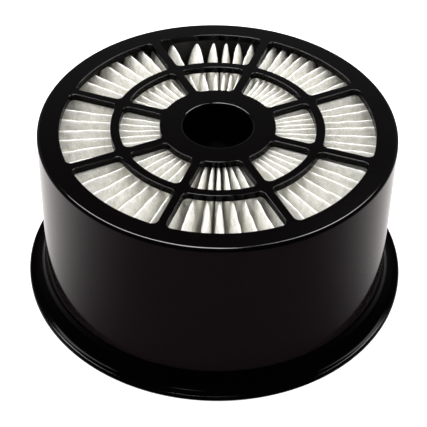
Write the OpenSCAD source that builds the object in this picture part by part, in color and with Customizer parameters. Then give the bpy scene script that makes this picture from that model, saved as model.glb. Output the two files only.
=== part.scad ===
// Exhaust filter cartridge of a vacuum cleaner. A moulded cup with a grille on top and a flared
// foot holds a ring of pleated filter paper, glued to the cup's wall and to its centre tube.
// Z = 0 is the plane that the foot stands on, and the Z axis is the axis of the cup.

/* [Housing] */
// Height from the foot's lower rim to the grille's top face
body_h = 67; // [45:1:110]
// Outer radius of the wall at the top
body_r = 65; // [52:0.5:95]
// How much wider the wall is at the foot, as mould draft
draft_gain = 0.5; // [0:0.1:1.5]
// Thickness of the wall
wall_t = 2.2; // [1.4:0.1:4]
// Rounding of the top outer edge
top_round = 1.2; // [0.4:0.1:2]

/* [Foot] */
// Radius of the sweep from the wall into the flared foot
foot_sweep = 6.2; // [3:0.1:8]
// How far the foot's edge reaches beyond the sweep
foot_lip = 0.8; // [0.8:0.1:3]
// Thickness of the foot at its edge
foot_t = 1.9; // [1.2:0.1:3]
// Rounding of the foot's upper edge
foot_round = 0.7; // [0.2:0.1:0.8]

/* [Grille] */
// Depth of the grille, from the top face to the underside of its bars, rim and hub
bar_depth = 2.5; // [1.5:0.1:5]
// Width of a spoke and of the ring between the two rows of windows
bar_w = 3.3; // [2:0.1:6]
// Rounding of the upper edges of the rim, the ring and the hub
bar_round = 0.5; // [0.2:0.1:0.7]
// Rounding of the upper edges of the spokes
spoke_round = 0.58; // [0.22:0.04:0.78]
// How much shallower the spokes are than the rim, the ring and the hub
spoke_relief = 0.1; // [0.1:0.1:0.8]
// Number of spokes
spokes = 8; // [4:1:12]
// Width of the rim, from the outside of the wall to the outer windows
rim_w = 8; // [6:0.5:12]
// Radius of the middle of the ring between the windows
ring_r = 37.1; // [30:0.1:46]
// Radius of the corners of the windows
window_corner_r = 2; // [1:0.1:2.5]

/* [Hub] */
// Radius of the hub's disc
hub_r = 21; // [19:0.5:26]
// Radius of the bore
bore_r = 12.6; // [10.5:0.1:16]
// Wall of the tube below the hub
tube_wall = 2.1; // [1.2:0.1:2.6]
// Height of the tube's lower end above the foot's plane
tube_lift = 8; // [2:0.5:12]
// Rounding of the bore's mouth
bore_round = 0.8; // [0.2:0.1:1]

/* [Pleated medium] */
// Number of pleats
pleats = 63; // [40:1:66]
// Height of the lower folds above the foot's plane
fold_lift = 16.3; // [14:0.1:25]
// Thickness of the filter paper
paper_t = 0.44; // [0.3:0.01:0.5]
// Clearance between the folds and the underside of the grille
crest_gap = 0.2; // [0.1:0.05:1]
// Share by which the folds stand closer than their mean on one side, as gathered by hand
gather_share = 0.14; // [0:0.01:0.16]
// Direction in which the folds stand closest
gather_angle = 44; // [0:1:360]
// How far the folds are pushed together beside the place where they have opened, in degrees
opening_push = 8; // [0:0.5:9]
// Direction of the fold that is pushed furthest
opening_angle = 102; // [0:1:360]
// How wide the opened stretch is, in degrees
opening_width = 11; // [9:1:20]
// How far round the push is felt on the other side, in degrees
push_reach = 48; // [40:1:60]
// How far a fold may lie beside its even place, in mm at the wall
fold_stray = 0.8; // [0:0.1:1]

/* [Adhesive] */
// Thickness of the adhesive between the pleats and the wall
outer_bond_t = 2; // [1:0.1:4]
// Thickness of the adhesive between the pleats and the centre tube
inner_bond_t = 1.6; // [0.8:0.1:3]
// How far the adhesive reaches below the folds
bond_drop = 1.5; // [0.5:0.1:2]
// Gap between the ends of the folds and the face of the adhesive
bond_gap = 0.1; // [0.05:0.01:0.3]

/* [Hidden] */

$fn = 128;

// Places that follow from the sizes above
wall_top_z = body_h - top_round;
under_z = body_h - bar_depth;
sweep_z = foot_t + foot_sweep;
sweep_r = body_r + draft_gain + foot_sweep;
foot_r = sweep_r + foot_lip;
rim_inner_r = body_r - rim_w;
tube_r = bore_r + tube_wall;
crest_z = under_z - crest_gap;
root_z = fold_lift;
bond_z = root_z - bond_drop;
spoke_step = 360 / spokes;
first_spoke = spoke_step / 2;
bar_half = bar_w / 2;
spoke_depth = bar_depth - spoke_relief;
// How far the tops of the webs in the window corners lie below the top face
web_drop = 0.8 * bar_round;

// How far one form of the moulding is sunk into the next
web_sink = 0.05;
spoke_sink = 1;

// Segments of the small roundings, of the sweep and of a window's corner
round_steps = 4;
sweep_steps = 12;
corner_steps = 5;

// Points along an arc, from one angle to another
function arc(centre, r, from, to, steps) =
    [for (k = [0:steps]) centre + r * [cos(from + (to - from) * k / steps), sin(from + (to - from) * k / steps)]];

// Outer and inner radius of the drafted wall at a height
function wall_outer(z) = body_r + draft_gain * (wall_top_z - z) / (wall_top_z - sweep_z);
function wall_inner(z) = wall_outer(z) - wall_t;

// Section of the cup: rim, wall and flared foot, in radius and height
function cup_section() =
    let(
        sweep_centre = [sweep_r, sweep_z],
        under_sweep = foot_sweep + wall_t,
        floor_angle = 180 + asin(min(1, sweep_z / under_sweep))
    )
    concat(
        [[rim_inner_r, under_z]],
        arc([rim_inner_r + bar_round, body_h - bar_round], bar_round, 180, 90, round_steps),
        arc([body_r - top_round, wall_top_z], top_round, 90, 0, round_steps + 2),
        arc(sweep_centre, foot_sweep, 180, 270, sweep_steps),
        arc([foot_r - foot_round, foot_t - foot_round], foot_round, 90, 0, round_steps),
        [[foot_r, foot_round / 4], [foot_r - foot_round / 4, 0]],
        arc(sweep_centre, under_sweep, floor_angle, 180, sweep_steps),
        [[wall_inner(under_z), under_z]]
    );

// Section of the hub's disc and its tube
function hub_section() =
    concat(
        [[bore_r, tube_lift], [tube_r, tube_lift], [tube_r, under_z], [hub_r, under_z]],
        arc([hub_r - bar_round, body_h - bar_round], bar_round, 0, 90, round_steps),
        arc([bore_r + bore_round, body_h - bore_round], bore_round, 90, 180, round_steps)
    );

// Section of a grille bar, with rounded upper edges. Its middle line is at 0, and its top is at 0
function bar_section(depth, rounding) =
    concat(
        [[-bar_half, -depth], [bar_half, -depth]],
        arc([bar_half - rounding, -rounding], rounding, 0, 90, round_steps),
        arc([rounding - bar_half, -rounding], rounding, 90, 180, round_steps)
    );

// Outline of the small web that rounds a window's corner beside a spoke that runs along +X.
// side is 1 where the window lies outside the circle, and -1 where it lies inside
function corner_outline(circle_r, side) =
    let(
        c = window_corner_r,
        centre_r = circle_r + side * (c - web_sink),
        cy = bar_half + c - web_sink,
        cx = sqrt(centre_r * centre_r - cy * cy),
        towards = side > 0 ? 180 + atan2(cy, cx) : atan2(cy, cx) + 360,
        corner = [sqrt(circle_r * circle_r - bar_half * bar_half) - side * c / 4, bar_half - c / 4]
    )
    concat([corner], arc([cx, cy], c, 270, towards, corner_steps));

module cup() {
    rotate_extrude() polygon(cup_section());
}

module hub_and_tube() {
    rotate_extrude() polygon(hub_section());
}

module middle_ring() {
    translate([0, 0, body_h])
        rotate_extrude() translate([ring_r, 0]) polygon(bar_section(bar_depth, bar_round));
}

// A spoke along +X, with its top at 0
module spoke() {
    translate([hub_r - spoke_sink, 0, 0])
        rotate([90, 0, 90])
            linear_extrude(rim_inner_r - hub_r + 2 * spoke_sink)
                polygon(bar_section(spoke_depth, spoke_round));
}

module window_corner(circle_r, side) {
    translate([0, 0, -spoke_depth])
        linear_extrude(spoke_depth - web_drop) polygon(corner_outline(circle_r, side));
}

// The four pairs of window corners along one spoke
module spoke_corners() {
    for (flip = [0, 1]) mirror([0, flip, 0]) {
        window_corner(hub_r, 1);
        window_corner(ring_r - bar_half, -1);
        window_corner(ring_r + bar_half, 1);
        window_corner(rim_inner_r, -1);
    }
}

module housing() {
    color("#151314") union() {
        cup();
        hub_and_tube();
        middle_ring();
        translate([0, 0, body_h])
            for (k = [0:spokes - 1]) rotate([0, 0, first_spoke + k * spoke_step]) {
                spoke();
                spoke_corners();
            }
    }
}

// Places along a fold, from its inner end to its outer end
fold_stations = 4;
fold_inner_r = tube_r + inner_bond_t + bond_gap;
fold_outer_r = wall_inner(under_z) - outer_bond_t - bond_gap;
function station_r(j) = fold_inner_r + (fold_outer_r - fold_inner_r) * j / (fold_stations - 1);

// Small shifts of each fold, the same at every build
stray = rands(-1, 1, pleats, 11);
bow = rands(-1, 1, pleats, 23);

// Angle that an offset makes on a circle
function degrees_at(offset, r) = offset / r * 180 / PI;

// Direction of a fold: an even share of the circle, gathered on one side and pushed aside at one place
function pushed(u) =
    let(
        d = (u - opening_angle + 540) % 360 - 180,
        reach = d < 0 ? push_reach : opening_width
    )
    opening_push * exp(-pow(d / reach, 2));
function fold_angle(i) =
    let(u = 360 * i / pleats)
    u - degrees_at(gather_share, 1) * sin(u - gather_angle) - pushed(u);

// Direction of a fold's crest at a station, with its stray and its small bow
function crest_angle(i, j) =
    let(
        k = i % pleats,
        turns = floor(i / pleats),
        share = j / (fold_stations - 1),
        offset = fold_stray * (stray[k] * share + bow[k] * sin(180 * share) / 2)
    )
    fold_angle(k) + 360 * turns + degrees_at(offset, fold_outer_r);

// Half width of a fold's edge: the paper lies twice round the crease
fold_half = paper_t;
fold_drop = 0.8 * paper_t;

// A point of the paper, from an angle, a sideways offset, a radius and a height
function paper_point(angle, offset, r, z) =
    let(a = angle + degrees_at(offset, r))
    [r * cos(a), r * sin(a), z];

// Eight points of one pleat at one station: four on the upper skin, then four on the lower skin
function pleat_points(i, j) =
    let(
        r = station_r(j),
        crest = crest_angle(i, j),
        root = (crest + crest_angle(i + 1, j)) / 2
    )
    [
        paper_point(crest, -fold_half, r, crest_z - fold_drop),
        paper_point(crest, 0, r, crest_z),
        paper_point(crest, fold_half, r, crest_z - fold_drop),
        paper_point(root, 0, r, root_z + paper_t),
        paper_point(crest, 0, r, crest_z - paper_t),
        paper_point(root, -fold_half, r, root_z + fold_drop),
        paper_point(root, 0, r, root_z),
        paper_point(root, fold_half, r, root_z + fold_drop)
    ];

// Number of a point in the list, for pleat i, station j and place n in the pleat
function index(i, j, n) = (j * pleats + i % pleats) * 8 + n;

// A four-sided patch as two triangles
function patch(a, b, c, d) = [[a, b, c], [a, c, d]];

// Faces of one skin between two stations, as neighbours along the fold
function skin_faces(i, j, first) =
    [for (n = [0:3])
        let(
            here = [i, first + n],
            next = n < 3 ? [i, first + n + 1] : [i + 1, first]
        )
        for (f = patch(
            index(here[0], j, here[1]), index(here[0], j + 1, here[1]),
            index(next[0], j + 1, next[1]), index(next[0], j, next[1])
        )) f
    ];

// Faces that close the cut edge of the paper at one station
function edge_faces(i, j) =
    let(
        p = [for (n = [0:7]) index(i, j, n)],
        next_top = index(i + 1, j, 0),
        next_under = index(i + 1, j, 4)
    )
    concat(
        [[p[0], p[1], p[4]], [p[1], p[2], p[4]]],
        patch(p[2], p[3], p[5], p[4]),
        [[p[3], p[6], p[5]], [p[3], p[7], p[6]]],
        patch(p[3], next_top, next_under, p[7])
    );

function reversed(faces) = [for (f = faces) [f[2], f[1], f[0]]];

module pleated_medium() {
    points = [for (j = [0:fold_stations - 1]) for (i = [0:pleats - 1]) each pleat_points(i, j)];
    upper = [for (i = [0:pleats - 1]) for (j = [0:fold_stations - 2]) each skin_faces(i, j, 0)];
    lower = [for (i = [0:pleats - 1]) for (j = [0:fold_stations - 2]) each skin_faces(i, j, 4)];
    inner_edge = [for (i = [0:pleats - 1]) each edge_faces(i, 0)];
    outer_edge = [for (i = [0:pleats - 1]) each edge_faces(i, fold_stations - 1)];
    color("#e9e8e2")
        polyhedron(points, concat(reversed(upper), lower, reversed(inner_edge), outer_edge));
}

// Ring of adhesive that fills the space between the folds and the drafted wall
module outer_bond() {
    inner_r = wall_inner(under_z) - outer_bond_t;
    color("#2a292b")
        rotate_extrude()
            polygon([
                [inner_r, bond_z],
                [wall_inner(bond_z), bond_z],
                [wall_inner(under_z), under_z],
                [inner_r, under_z]
            ]);
}

// Ring of adhesive between the centre tube and the folds
module inner_bond() {
    color("#2a292b")
        translate([0, 0, bond_z])
            difference() {
                cylinder(h = under_z - bond_z, r = tube_r + inner_bond_t);
                translate([0, 0, -1]) cylinder(h = under_z - bond_z + 2, r = tube_r);
            }
}

housing();
pleated_medium();
outer_bond();
inner_bond();
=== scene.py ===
from math import asin, atan2, cos, exp, pi, radians, sin

import bmesh
import bpy
from mathutils import Matrix, Vector, noise


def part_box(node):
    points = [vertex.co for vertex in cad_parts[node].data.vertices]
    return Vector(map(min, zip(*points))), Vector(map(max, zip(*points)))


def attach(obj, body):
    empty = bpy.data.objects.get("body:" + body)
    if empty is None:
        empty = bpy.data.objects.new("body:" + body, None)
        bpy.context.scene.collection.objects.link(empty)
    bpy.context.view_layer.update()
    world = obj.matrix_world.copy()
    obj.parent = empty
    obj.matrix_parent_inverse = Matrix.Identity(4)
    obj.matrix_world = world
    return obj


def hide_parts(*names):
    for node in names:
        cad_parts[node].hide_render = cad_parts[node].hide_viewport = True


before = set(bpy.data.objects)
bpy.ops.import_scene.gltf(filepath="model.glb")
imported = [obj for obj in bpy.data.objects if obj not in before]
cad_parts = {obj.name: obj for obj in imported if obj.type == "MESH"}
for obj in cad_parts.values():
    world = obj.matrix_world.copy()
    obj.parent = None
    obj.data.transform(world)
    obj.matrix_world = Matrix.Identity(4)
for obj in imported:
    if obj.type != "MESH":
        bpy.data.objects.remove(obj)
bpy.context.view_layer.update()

mm = 0.001

# Housing
# One injection moulding of glossy black plastic: a drafted wall with a flared foot, a rim,
# eight spokes, a ring between two rows of windows, and a hub with a tube down its middle.
# The round forms are turned from one section, then the windows are cut and their edges eased.
foot_low, foot_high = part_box("housing")
top_z = foot_high.z
foot_r = foot_high.x
foot_sweep = 6.2 * mm
foot_t = 1.9 * mm
foot_round = 0.7 * mm
sweep_r = foot_r - 0.8 * mm
sweep_z = foot_t + foot_sweep
wall_foot_r = sweep_r - foot_sweep
wall_r = wall_foot_r - 0.5 * mm
wall_t = 2.2 * mm
top_round = 1.2 * mm
wall_top_z = top_z - top_round
plate_t = 2.5 * mm
plate_z = top_z - plate_t
hub_r = 21 * mm
bore_r = 12.6 * mm
bore_round = 0.8 * mm
tube_r = 14.7 * mm
tube_z = 8 * mm
rim_inner_r = 57 * mm
ring_inner_r = 35.45 * mm
ring_outer_r = 38.75 * mm
bar_half = 1.65 * mm
window_corner = 2 * mm
bar_round = 0.32 * mm
round_steps = 5
skin = 0.004 * mm
spoke_count = 8
turn_steps = 240


def arc_from(bm, vert, centre, angle, steps, axis=(0, 0, 1)):
    """Sweeps a vertex about a centre, and returns the last vertex of the arc."""
    swept = bmesh.ops.spin(bm, geom=[vert], cent=centre, axis=axis, angle=angle, steps=steps)
    return swept["geom_last"][0]


def line_to(bm, vert, place):
    """Draws an edge from a vertex to a place, and returns its far vertex."""
    far = bm.verts.new(place)
    bm.edges.new((vert, far))
    return far


def section_arc(bm, vert, centre, degrees, steps):
    """An arc in the plane of a turned section, with positive angles from the axis up."""
    return arc_from(bm, vert, centre, radians(degrees), steps, axis=(0, -1, 0))


def wall_inner_at(z):
    """Inner radius of the drafted wall at a height."""
    return wall_r + (wall_foot_r - wall_r) * (wall_top_z - z) / (wall_top_z - sweep_z) - wall_t


def turned_housing():
    """Turns the cup, the plate, the hub and its tube as one solid."""
    bm = bmesh.new()
    start = bm.verts.new((bore_r, 0, tube_z))
    v = line_to(bm, start, (tube_r, 0, tube_z))
    v = line_to(bm, v, (tube_r, 0, plate_z))
    v = line_to(bm, v, (wall_inner_at(plate_z), 0, plate_z))
    v = line_to(bm, v, (sweep_r - foot_sweep - wall_t, 0, sweep_z))
    v = section_arc(bm, v, (sweep_r, 0, sweep_z), 74.6, 20)
    v.co.z = 0
    v = line_to(bm, v, (foot_r - 0.2 * mm, 0, 0))
    v = line_to(bm, v, (foot_r, 0, 0.2 * mm))
    v = line_to(bm, v, (foot_r, 0, foot_t - foot_round))
    v = section_arc(bm, v, (foot_r - foot_round, 0, foot_t - foot_round), 90, 8)
    v = line_to(bm, v, (sweep_r, 0, foot_t))
    v = section_arc(bm, v, (sweep_r, 0, sweep_z), -90, 28)
    v = line_to(bm, v, (wall_r, 0, wall_top_z))
    v = section_arc(bm, v, (wall_r - top_round, 0, wall_top_z), 90, 10)
    v = line_to(bm, v, (bore_r + bore_round, 0, top_z))
    v = section_arc(bm, v, (bore_r + bore_round, 0, top_z - bore_round), 90, 8)
    bm.edges.new((v, start))
    bmesh.ops.spin(
        bm, geom=bm.verts[:] + bm.edges[:], cent=(0, 0, 0), axis=(0, 0, 1),
        angle=2 * pi, steps=turn_steps, use_merge=True,
    )
    bmesh.ops.remove_doubles(bm, verts=bm.verts[:], dist=1e-6)
    bmesh.ops.recalc_face_normals(bm, faces=bm.faces[:])
    return bm


def window_outline(bm, inner_r, outer_r, arc_steps, grown, z):
    """The closed outline of a window with rounded corners on the +X side, grown all round."""
    half_step = pi / spoke_count
    c = window_corner + grown
    bar = bar_half - grown
    inner_r, outer_r = inner_r - grown, outer_r + grown
    outer_at = half_step - asin((bar + c) / (outer_r - c))
    inner_at = half_step - asin((bar + c) / (inner_r + c))
    square = half_step + pi / 2
    corner_steps = 7

    def spot(r, angle):
        return Vector((r * cos(angle), r * sin(angle), z))

    start = bm.verts.new(spot(outer_r, -outer_at))
    v = arc_from(bm, start, (0, 0, z), 2 * outer_at, arc_steps)
    v = arc_from(bm, v, spot(outer_r - c, outer_at), square - outer_at, corner_steps)
    v = line_to(bm, v, spot(inner_r + c, inner_at) + c * Vector((cos(square), sin(square), 0)))
    v = arc_from(bm, v, spot(inner_r + c, inner_at), pi + inner_at - square, corner_steps)
    v = arc_from(bm, v, (0, 0, z), -2 * inner_at, arc_steps)
    v = arc_from(bm, v, spot(inner_r + c, -inner_at), pi + inner_at - square, corner_steps)
    v = line_to(bm, v, spot(outer_r - c, -outer_at) + c * Vector((cos(square), -sin(square), 0)))
    arc_from(bm, v, spot(outer_r - c, -outer_at), square - outer_at, corner_steps)


def window_cutter(inner_r, outer_r, arc_steps):
    """A block that cuts one window, and leaves a rounded edge round the window's top."""
    rings = [(0, plate_z - 1 * mm)]
    for k in range(round_steps + 1):
        turn = pi / 2 * k / round_steps
        rings.append((bar_round * (1 - cos(turn)), top_z - bar_round * (1 - sin(turn)) + skin))
    rings.append((bar_round, top_z + 1 * mm))
    bm = bmesh.new()
    previous = []
    for place, (grown, z) in enumerate(rings):
        before = set(bm.edges)
        window_outline(bm, inner_r, outer_r, arc_steps, grown, z)
        fresh = [v for e in bm.edges if e not in before for v in e.verts]
        bmesh.ops.remove_doubles(bm, verts=list(set(fresh)), dist=0.001 * mm)
        ring = [e for e in bm.edges if e not in before and e.is_valid]
        if previous:
            bmesh.ops.bridge_loops(bm, edges=previous + ring)
        if place in (0, len(rings) - 1):
            bmesh.ops.contextual_create(bm, geom=ring)
        previous = ring
    bmesh.ops.recalc_face_normals(bm, faces=bm.faces[:])
    return bm


def object_from(bm, name):
    """Makes an object of a finished bmesh."""
    mesh = bpy.data.meshes.new(name)
    bm.to_mesh(mesh)
    bm.free()
    made = bpy.data.objects.new(name, mesh)
    bpy.context.scene.collection.objects.link(made)
    return made


cutters = bmesh.new()
for inner_r, outer_r, arc_steps in ((hub_r, ring_inner_r, 16), (ring_outer_r, rim_inner_r, 30)):
    one = window_cutter(inner_r, outer_r, arc_steps)
    one_mesh = bpy.data.meshes.new("window")
    one.to_mesh(one_mesh)
    one.free()
    for k in range(spoke_count):
        turned = one_mesh.copy()
        turned.transform(Matrix.Rotation(k * 2 * pi / spoke_count, 4, "Z"))
        cutters.from_mesh(turned)
cutter = object_from(cutters, "window_cutters")
housing = object_from(turned_housing(), "moulded_housing")
cut = housing.modifiers.new("windows", "BOOLEAN")
cut.object = cutter
cut.operation = "DIFFERENCE"
cut.solver = "EXACT"
bpy.context.view_layer.update()
cut_mesh = bpy.data.meshes.new_from_object(
    housing.evaluated_get(bpy.context.evaluated_depsgraph_get())
)
housing.modifiers.clear()
housing.data = cut_mesh
bpy.data.objects.remove(cutter)
bm = bmesh.new()
bm.from_mesh(cut_mesh)
bmesh.ops.remove_doubles(bm, verts=bm.verts[:], dist=0.001 * mm)
bm.to_mesh(cut_mesh)
bm.free()

housing.data.shade_smooth()
housing.data.set_sharp_from_angle(angle=radians(32))
weighted = housing.modifiers.new("flat faces stay flat", "WEIGHTED_NORMAL")
weighted.keep_sharp = True
weighted.weight = 80

plastic = bpy.data.materials.new("glossy black plastic")
plastic.use_nodes = True
nodes, links = plastic.node_tree.nodes, plastic.node_tree.links
shader = nodes["Principled BSDF"]
shader.inputs["Base Color"].default_value = (0.0011, 0.0008, 0.0009, 1)
shader.inputs["IOR"].default_value = 1.49
place = nodes.new("ShaderNodeTexCoord")
flow = nodes.new("ShaderNodeTexNoise")
flow.inputs["Scale"].default_value = 45
flow.inputs["Detail"].default_value = 4
links.new(place.outputs["Object"], flow.inputs["Vector"])
gloss = nodes.new("ShaderNodeMapRange")
gloss.inputs["To Min"].default_value = 0.06
gloss.inputs["To Max"].default_value = 0.11
links.new(flow.outputs["Fac"], gloss.inputs["Value"])
links.new(gloss.outputs["Result"], shader.inputs["Roughness"])
peel = nodes.new("ShaderNodeTexNoise")
peel.inputs["Scale"].default_value = 900
peel.inputs["Detail"].default_value = 3
links.new(place.outputs["Object"], peel.inputs["Vector"])
peel_bump = nodes.new("ShaderNodeBump")
peel_bump.inputs["Strength"].default_value = 0.05
peel_bump.inputs["Distance"].default_value = 0.0002
links.new(peel.outputs["Fac"], peel_bump.inputs["Height"])
links.new(peel_bump.outputs["Normal"], shader.inputs["Normal"])
housing.data.materials.clear()
housing.data.materials.append(plastic)
satin = plastic.copy()
satin.name = "satin black plastic"
satin_shader = satin.node_tree.nodes["Principled BSDF"]
satin_shader.inputs["Specular IOR Level"].default_value = 0.05
housing.data.materials.append(satin)
# The outer wall gets a lighter black than the grille and the foot.
lighter_wall_plastic = plastic.copy()
lighter_wall_plastic.name = "lighter black plastic of the wall"
lighter_wall_shader = lighter_wall_plastic.node_tree.nodes["Principled BSDF"]
lighter_wall_shader.inputs["Base Color"].default_value = (0.0105, 0.0072, 0.0084, 1)
housing.data.materials.append(lighter_wall_plastic)
for face in housing.data.polygons:
    across = face.center.xy.length
    upright = abs(face.normal.z) < 0.3 and plate_z < face.center.z < top_z - 0.3 * mm
    if upright and hub_r - 1 * mm < across < rim_inner_r + 1 * mm:
        face.material_index = 1
    # The faces of the outer wall take the lighter black.
    if across > wall_r - 0.3 * mm and sweep_z - 0.1 * mm < face.center.z < wall_top_z:
        face.material_index = 2
    if wall_foot_r - 0.5 * mm < across < foot_r - foot_round and 0 < face.center.z < sweep_z:
        face.material_index = 1
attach(housing, "root")
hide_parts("housing")

# Pleated medium
# One long strip of white filter paper, folded to and fro and closed to a ring. The folds run
# from the tube to the wall, and their ends are set in adhesive. A flat strip is made first,
# and then each of its points is moved to its place on the folds.
paper_t = 0.44 * mm
strip_low, strip_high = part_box("pleated_medium")
crest_z = strip_high.z - paper_t / 2
root_z = strip_low.z + paper_t / 2
fold_depth = crest_z - root_z
points_per_face = 12
rows = 28
crease_half = 0.2 * mm
crease_reach = 0.3 * mm
swell_reach = 12 * mm
crumple = 0.26 * mm
sag_start = 0.85


def crest_lines():
    """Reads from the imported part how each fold's crest runs, as directions at even stations."""
    found = {}
    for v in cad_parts["pleated_medium"].data.vertices:
        if v.co.z > strip_high.z - 0.01 * mm:
            found.setdefault(round(v.co.xy.length, 4), set()).add(round(atan2(v.co.y, v.co.x), 6))
    radii = sorted(found)
    lines = []
    for first in sorted(found[radii[0]]):
        line = [first]
        for r in radii[1:]:
            line.append(min(
                (first + (a - first + pi) % (2 * pi) - pi for a in found[r]),
                key=lambda a: abs(a - first),
            ))
        lines.append(line)
    return radii[0], radii[-1], lines


def along(line, share):
    """Direction of a crest at a share of its length: a smooth curve through its four stations."""
    a, b, c, d = line
    p = 3 * share
    return (
        a * (1 - p) * (2 - p) * (3 - p) / 6 + b * p * (2 - p) * (3 - p) / 2
        + c * p * (p - 1) * (3 - p) / 2 + d * p * (p - 1) * (p - 2) / 6
    )


def folded(line, next_line, fold, place, share):
    """A point of the strip: its fold, its place from crest to crest, its share from tube to wall."""
    r = strip_inner_r + (strip_outer_r - strip_inner_r) * share
    down = 1 - abs(2 * place - 1)
    from_crest = 4 * down ** 3 if down < 0.5 else 1 - 4 * (1 - down) ** 3
    here, there = along(line, share), along(next_line, share)
    near, side = (here, 1) if place <= 0.5 else (there, -1)
    half_gap = (there - here) / 2 * r
    depth = from_crest * fold_depth
    crease = min(crease_half, 0.3 * half_gap)
    bulge = (1 - from_crest) * (1 - exp(-depth / crease_reach))
    closed = min(0.62 * paper_t, 0.4 * half_gap) * (1 - exp(-(fold_depth - depth) / crease_reach))
    swell = 1 - exp(-depth / swell_reach)
    out = half_gap * (1 - (1 - from_crest) * (1 - swell)) - closed * swell + crease * bulge
    key = fold if side > 0 else fold + 1
    key = key % len(lines)
    wave = noise.noise((r * 160, key * 7.3, depth * 25))
    apart = side * min(1, depth / (3 * mm))
    ripple = noise.noise((r * 420, key * 3.1 + apart, depth * 160))
    loose = min(1, half_gap / (2 * mm)) * min(1, 3 * (1 - from_crest))
    pushed = side * loose * crumple * (1.6 * wave + 1.3 * ripple)
    room = max(0, half_gap - out - paper_t / 2)
    angle = near + side * (out + min(pushed, room)) / r
    z = crest_z - depth
    z -= 0.3 * mm * (1 - from_crest) * (0.5 + 0.5 * noise.noise((r * 210, key * 5.7, 0)))
    back = exp(-((near - pi / 2) / 0.3) ** 2)
    over = max(0, (share - sag_start) / (1 - sag_start))
    z -= (0.5 * mm + 9 * mm * back) * (1 - (1 - over ** 2) ** 0.5) * (1 - from_crest)
    return Vector((r * cos(angle), r * sin(angle), z))


strip_inner_r, strip_outer_r, lines = crest_lines()
per_fold = 2 * points_per_face
columns = len(lines) * per_fold
bm = bmesh.new()
bmesh.ops.create_grid(bm, x_segments=columns, y_segments=rows, size=0.5)
for v in bm.verts:
    column = round((v.co.x + 0.5) * columns)
    fold, place = (column // per_fold) % len(lines), (column % per_fold) / per_fold
    share = v.co.y + 0.5
    line = lines[fold]
    next_line = lines[fold + 1] if fold + 1 < len(lines) else [a + 2 * pi for a in lines[0]]
    v.co = folded(line, next_line, fold, place, share)
bmesh.ops.remove_doubles(bm, verts=bm.verts[:], dist=0.001 * mm)
bmesh.ops.recalc_face_normals(bm, faces=bm.faces[:])
medium = object_from(bm, "folded_paper")
medium.data.shade_smooth()
sheet = medium.modifiers.new("paper thickness", "SOLIDIFY")
sheet.thickness = paper_t
sheet.offset = 0

paper = bpy.data.materials.new("white filter paper")
paper.use_nodes = True
nodes, links = paper.node_tree.nodes, paper.node_tree.links
shader = nodes["Principled BSDF"]
shader.inputs["Roughness"].default_value = 0.9
shader.inputs["Specular IOR Level"].default_value = 0.2
shader.inputs["Subsurface Weight"].default_value = 0.5
shader.inputs["Subsurface Radius"].default_value = (1, 1, 0.9)
shader.inputs["Subsurface Scale"].default_value = 1.5 * mm
place = nodes.new("ShaderNodeTexCoord")
cloud = nodes.new("ShaderNodeTexNoise")
cloud.inputs["Scale"].default_value = 420
cloud.inputs["Detail"].default_value = 5
cloud.inputs["Roughness"].default_value = 0.65
links.new(place.outputs["Object"], cloud.inputs["Vector"])
tint = nodes.new("ShaderNodeValToRGB")
tint.color_ramp.elements[0].position = 0.3
tint.color_ramp.elements[0].color = (0.66, 0.65, 0.575, 1)
tint.color_ramp.elements[1].position = 0.62
tint.color_ramp.elements[1].color = (0.91, 0.895, 0.845, 1)
links.new(cloud.outputs["Fac"], tint.inputs["Fac"])
links.new(tint.outputs["Color"], shader.inputs["Base Color"])
fibres = nodes.new("ShaderNodeTexNoise")
fibres.inputs["Scale"].default_value = 650
fibres.inputs["Detail"].default_value = 4
fibres.inputs["Distortion"].default_value = 1.5
links.new(place.outputs["Object"], fibres.inputs["Vector"])
fibre_bump = nodes.new("ShaderNodeBump")
fibre_bump.inputs["Strength"].default_value = 0.75
fibre_bump.inputs["Distance"].default_value = 0.4 * mm
links.new(fibres.outputs["Fac"], fibre_bump.inputs["Height"])
links.new(fibre_bump.outputs["Normal"], shader.inputs["Normal"])
medium.data.materials.append(paper)
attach(medium, "root")
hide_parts("pleated_medium")

# Adhesive
# Two rings of dark potting adhesive, poured round the ends of the folds. The outer one seals
# the paper to the wall, the inner one to the tube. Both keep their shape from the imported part.
glue = bpy.data.materials.new("dark potting adhesive")
glue.use_nodes = True
nodes, links = glue.node_tree.nodes, glue.node_tree.links
shader = nodes["Principled BSDF"]
shader.inputs["Roughness"].default_value = 0.6
place = nodes.new("ShaderNodeTexCoord")
mottle = nodes.new("ShaderNodeTexNoise")
mottle.inputs["Scale"].default_value = 120
links.new(place.outputs["Object"], mottle.inputs["Vector"])
tint = nodes.new("ShaderNodeValToRGB")
tint.color_ramp.elements[0].color = (0.012, 0.012, 0.011, 1)
tint.color_ramp.elements[1].color = (0.03, 0.029, 0.027, 1)
links.new(mottle.outputs["Fac"], tint.inputs["Fac"])
links.new(tint.outputs["Color"], shader.inputs["Base Color"])
pour = nodes.new("ShaderNodeBump")
pour.inputs["Strength"].default_value = 0.4
pour.inputs["Distance"].default_value = 0.001
links.new(mottle.outputs["Fac"], pour.inputs["Height"])
links.new(pour.outputs["Normal"], shader.inputs["Normal"])
for ring in ("outer_bond", "inner_bond"):
    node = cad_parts[ring]
    node.data.materials.clear()
    node.data.materials.append(glue)
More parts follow.
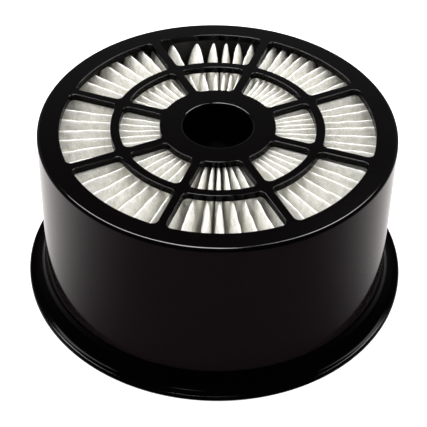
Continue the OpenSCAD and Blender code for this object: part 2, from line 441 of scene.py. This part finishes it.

# Floor
# A pale studio floor. It is seen as white and keeps a faint shadow of the cartridge. In the
# plastic's reflections it glows with painted light: dim in front and bright behind, as a lit sweep is, and fading
# to dark away from the cartridge.
bm = bmesh.new()
bmesh.ops.create_grid(bm, x_segments=1, y_segments=1, size=4)
bmesh.ops.translate(bm, verts=bm.verts[:], vec=(0, 0, -0.02 * mm))
floor = object_from(bm, "studio_floor")
sweep = bpy.data.materials.new("pale studio floor")
sweep.use_nodes = True
nodes, links = sweep.node_tree.nodes, sweep.node_tree.links
nodes.clear()
out = nodes.new("ShaderNodeOutputMaterial")
rays = nodes.new("ShaderNodeLightPath")
seen = nodes.new("ShaderNodeMixShader")
mirrored = nodes.new("ShaderNodeMixShader")
matt = nodes.new("ShaderNodeBsdfDiffuse")
matt.inputs["Color"].default_value = (0.6, 0.6, 0.6, 1)
lit = nodes.new("ShaderNodeEmission")
lit.inputs["Color"].default_value = (1, 1, 1, 1)
lit.inputs["Strength"].default_value = 0.72
both = nodes.new("ShaderNodeAddShader")
place = nodes.new("ShaderNodeTexCoord")
flat = nodes.new("ShaderNodeVectorMath")
flat.operation = "NORMALIZE"
towards_light = nodes.new("ShaderNodeVectorMath")
towards_light.operation = "DOT_PRODUCT"
towards_light.inputs[1].default_value = (-0.02, 1, 0)
glow = nodes.new("ShaderNodeMapRange")
glow.interpolation_type = "SMOOTHERSTEP"
glow.inputs["From Min"].default_value = -1
glow.inputs["From Max"].default_value = 0.8
glow.inputs["To Min"].default_value = 0.01
glow.inputs["To Max"].default_value = 1.3
# Painted light: for glossy rays the floor glows, brighter behind the cartridge and dim in front.
painted_reflection_glow = nodes.new("ShaderNodeEmission")
painted_reflection_glow.inputs["Color"].default_value = (1, 0.96, 0.95, 1)
links.new(place.outputs["Object"], flat.inputs[0])
links.new(flat.outputs["Vector"], towards_light.inputs[0])
links.new(towards_light.outputs["Value"], glow.inputs["Value"])
# The painted glow fades to dark away from the cartridge.
reach = nodes.new("ShaderNodeVectorMath")
reach.operation = "LENGTH"
painted_glow_falloff = nodes.new("ShaderNodeMapRange")
painted_glow_falloff.interpolation_type = "SMOOTHSTEP"
painted_glow_falloff.inputs["From Min"].default_value = 0.14
painted_glow_falloff.inputs["From Max"].default_value = 0.5
painted_glow_falloff.inputs["To Min"].default_value = 1
painted_glow_falloff.inputs["To Max"].default_value = 0.01
painted_glow_strength = nodes.new("ShaderNodeMath")
painted_glow_strength.operation = "MULTIPLY"
links.new(place.outputs["Object"], reach.inputs[0])
links.new(reach.outputs["Value"], painted_glow_falloff.inputs["Value"])
links.new(glow.outputs["Result"], painted_glow_strength.inputs[0])
links.new(painted_glow_falloff.outputs["Result"], painted_glow_strength.inputs[1])
links.new(painted_glow_strength.outputs["Value"], painted_reflection_glow.inputs["Strength"])
links.new(matt.outputs["BSDF"], both.inputs[0])
links.new(lit.outputs["Emission"], both.inputs[1])
links.new(rays.outputs["Is Glossy Ray"], mirrored.inputs["Fac"])
links.new(matt.outputs["BSDF"], mirrored.inputs[1])
links.new(painted_reflection_glow.outputs["Emission"], mirrored.inputs[2])
links.new(rays.outputs["Is Camera Ray"], seen.inputs["Fac"])
links.new(mirrored.outputs["Shader"], seen.inputs[1])
links.new(both.outputs["Shader"], seen.inputs[2])
links.new(seen.outputs["Shader"], out.inputs["Surface"])
floor.data.materials.append(sweep)

# Studio light
# Three softboxes above and behind the cartridge, and a matt fill light on each side. The room beyond is plain: it
# lights softly from all round, is seen as white, and is dark high up in reflections.
world = bpy.data.worlds.new("plain studio")
bpy.context.scene.world = world
world.use_nodes = True
nodes, links = world.node_tree.nodes, world.node_tree.links
nodes.clear()
out = nodes.new("ShaderNodeOutputWorld")
rays = nodes.new("ShaderNodeLightPath")
seen = nodes.new("ShaderNodeMixShader")
mirrored = nodes.new("ShaderNodeMixShader")
white = nodes.new("ShaderNodeBackground")
white.inputs["Color"].default_value = (1, 1, 1, 1)
ambient = nodes.new("ShaderNodeBackground")
ambient.inputs["Color"].default_value = (1, 1, 1, 1)
ambient.inputs["Strength"].default_value = 0.28
backdrop = nodes.new("ShaderNodeBackground")
backdrop.inputs["Color"].default_value = (1, 1, 1, 1)
direction = nodes.new("ShaderNodeTexCoord")
split = nodes.new("ShaderNodeSeparateXYZ")
height = nodes.new("ShaderNodeMapRange")
height.interpolation_type = "SMOOTHSTEP"
height.inputs["From Min"].default_value = 0.5
height.inputs["From Max"].default_value = 0.68
height.inputs["To Min"].default_value = 0.16
height.inputs["To Max"].default_value = 0.01
links.new(direction.outputs["Generated"], split.inputs["Vector"])
links.new(split.outputs["Z"], height.inputs["Value"])
behind = nodes.new("ShaderNodeMapRange")
behind.interpolation_type = "SMOOTHSTEP"
behind.inputs["From Min"].default_value = 0
behind.inputs["From Max"].default_value = 0.7
behind.inputs["To Min"].default_value = 0.03
behind.inputs["To Max"].default_value = 1
room = nodes.new("ShaderNodeMath")
room.operation = "MULTIPLY"
links.new(split.outputs["Y"], behind.inputs["Value"])
links.new(height.outputs["Result"], room.inputs[0])
links.new(behind.outputs["Result"], room.inputs[1])
links.new(room.outputs["Value"], backdrop.inputs["Strength"])
links.new(rays.outputs["Is Glossy Ray"], mirrored.inputs["Fac"])
links.new(ambient.outputs["Background"], mirrored.inputs[1])
links.new(backdrop.outputs["Background"], mirrored.inputs[2])
links.new(rays.outputs["Is Camera Ray"], seen.inputs["Fac"])
links.new(mirrored.outputs["Shader"], seen.inputs[1])
links.new(white.outputs["Background"], seen.inputs[2])
links.new(seen.outputs["Shader"], out.inputs["Surface"])


def softbox(name, compass, height_angle, distance, size, watts):
    """An area lamp that faces the cartridge. Its compass angle is counted from the front, to the right."""
    lamp = bpy.data.objects.new(name, bpy.data.lights.new(name, "AREA"))
    lamp.data.shape = "RECTANGLE"
    lamp.data.size, lamp.data.size_y = size
    lamp.data.energy = watts
    flat = distance * cos(radians(height_angle))
    lamp.location = (
        flat * sin(radians(compass)), -flat * cos(radians(compass)),
        distance * sin(radians(height_angle)) + foot_high.z,
    )
    to_part = Vector((0, 0, foot_high.z)) - lamp.location
    lamp.rotation_euler = to_part.to_track_quat("-Z", "Y").to_euler()
    bpy.context.scene.collection.objects.link(lamp)
    return lamp


softbox("overhead_softbox", compass=-168, height_angle=75, distance=1, size=(0.28, 0.5), watts=6)
softbox("left_rear_softbox", compass=-152, height_angle=58, distance=1, size=(0.3, 0.3), watts=3.2)
softbox("right_rear_softbox", compass=150, height_angle=55, distance=1, size=(0.3, 0.3), watts=3.2)
for name, compass in (("left_fill", -90), ("right_fill", 90)):
    fill = softbox(name, compass=compass, height_angle=45, distance=1, size=(0.7, 0.7), watts=5.6)
    fill.visible_glossy = False

# Camera
# The cartridge is seen from the front and from above, a little more than 40 degrees up.
# The view is turned so that no spoke points straight at the viewer.
camera_spot = Vector((-0.02491, -0.35433, 0.34651))
camera_height_angle = radians(42.27)
camera_turn = radians(-4)
camera_roll = radians(1.387)
camera = bpy.data.objects.new("camera", bpy.data.cameras.new("camera"))
camera.data.sensor_width = 36
camera.data.lens = 105.5
camera.data.shift_x = -0.0043
camera.data.shift_y = 0.0009
camera.data.clip_start = 0.01
camera.matrix_world = (
    Matrix.Translation(camera_spot)
    @ Matrix.Rotation(camera_turn, 4, "Z")
    @ Matrix.Rotation(pi / 2 - camera_height_angle, 4, "X")
    @ Matrix.Rotation(camera_roll, 4, "Z")
)
bpy.context.scene.collection.objects.link(camera)
bpy.context.scene.camera = camera

bpy.context.scene.view_settings.view_transform = "Standard"
